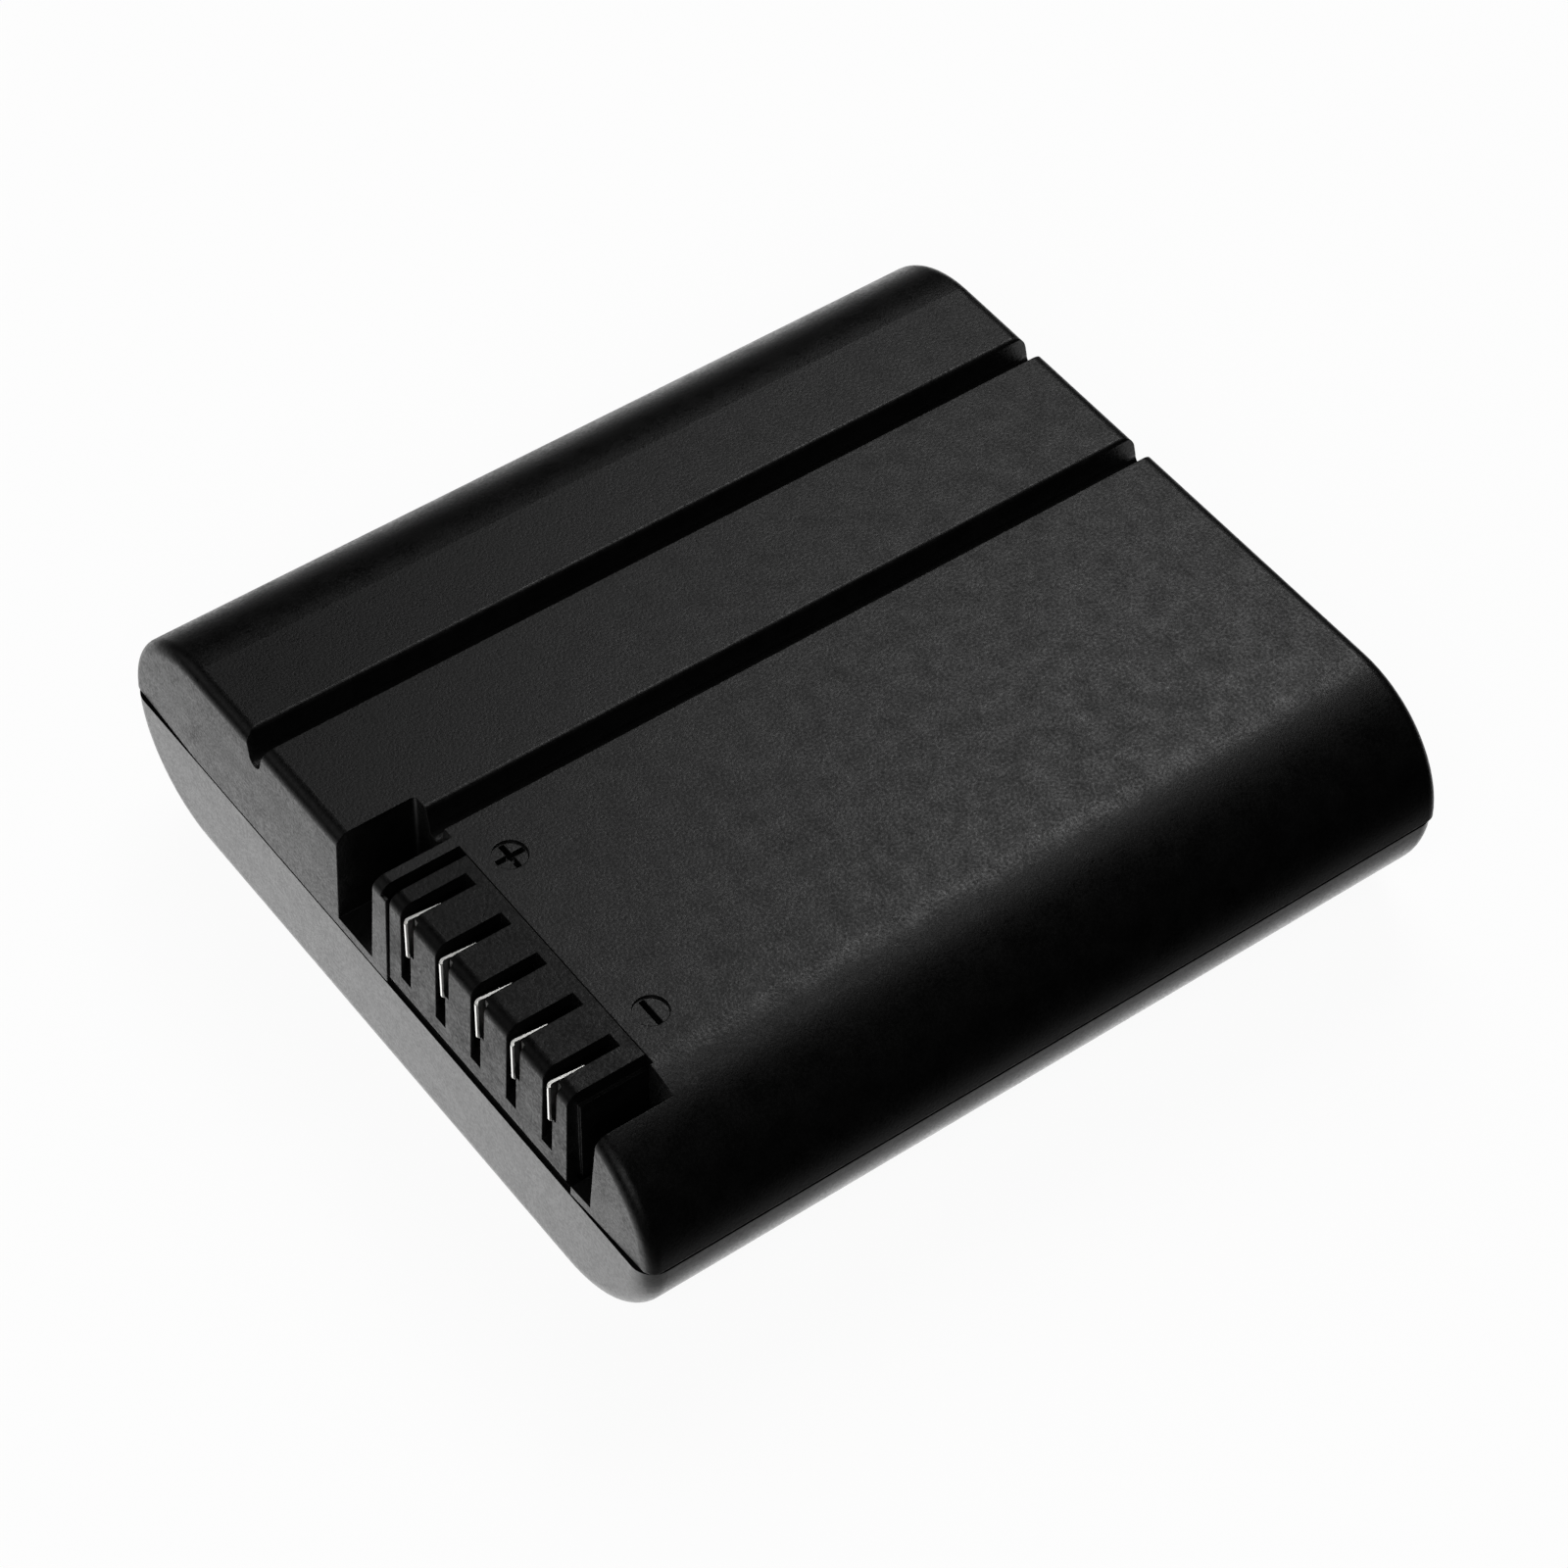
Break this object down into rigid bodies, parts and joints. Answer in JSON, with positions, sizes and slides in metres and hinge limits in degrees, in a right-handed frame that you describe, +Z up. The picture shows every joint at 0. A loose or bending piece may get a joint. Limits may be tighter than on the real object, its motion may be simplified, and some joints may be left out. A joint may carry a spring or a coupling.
{
  "type": "medical device battery pack",
  "caption": "Slim rechargeable battery pack with round sides, guide grooves on top and a slotted terminal block in a notch of one end.",
  "frame": {"origin": "centre of the flat underside", "axes": "+X across the pack, +Y along the cells and away from the terminal end, +Z up through the grooved top"},
  "size_m": [0.0774, 0.083, 0.0224],
  "materials": {
    "case_abs": "fine-textured moulded ABS",
    "block_pbt": "smooth moulded PBT",
    "contact_nickel": "bright nickel plate on bronze strip",
    "link_nickel": "rolled nickel strip",
    "board_fr4": "solder-masked glass epoxy",
    "chip_epoxy": "moulded epoxy",
    "ceramic": "fired ceramic",
    "cell_sleeve": "shrunk PVC sleeve on a steel can",
    "insulation_paper": "pressed insulating paper",
    "foam": "closed-cell foam",
    "wire_red": "extruded PVC",
    "wire_yellow": "extruded PVC",
    "thermistor_epoxy": "dipped epoxy"
  },
  "bodies": {
    "root": {"top_shell": "case_abs", "bottom_shell": "case_abs", "terminal_block": "block_pbt", "contact_1": "contact_nickel", "contact_2": "contact_nickel", "contact_3": "contact_nickel", "contact_4": "contact_nickel", "contact_5": "contact_nickel", "circuit_board": "board_fr4", "protection_mosfets": "chip_epoxy", "gauge_chip": "chip_epoxy", "monitor_chip": "chip_epoxy", "power_fuse": "ceramic", "sense_resistor": "chip_epoxy", "chip_capacitors": "ceramic", "cell_1": "cell_sleeve", "cell_2": "cell_sleeve", "cell_3": "cell_sleeve", "cell_4": "cell_sleeve", "insulator_rings": "insulation_paper", "positive_tab": "link_nickel", "front_link": "link_nickel", "negative_tab": "link_nickel", "rear_link_left": "link_nickel", "rear_link_right": "link_nickel", "front_insulator": "insulation_paper", "rear_insulator": "insulation_paper", "sense_wire_left": "wire_red", "sense_wire_right": "wire_yellow", "thermistor": "thermistor_epoxy", "foam_pads_upper": "foam", "foam_pads_lower": "foam"}
  },
  "joints": []
}
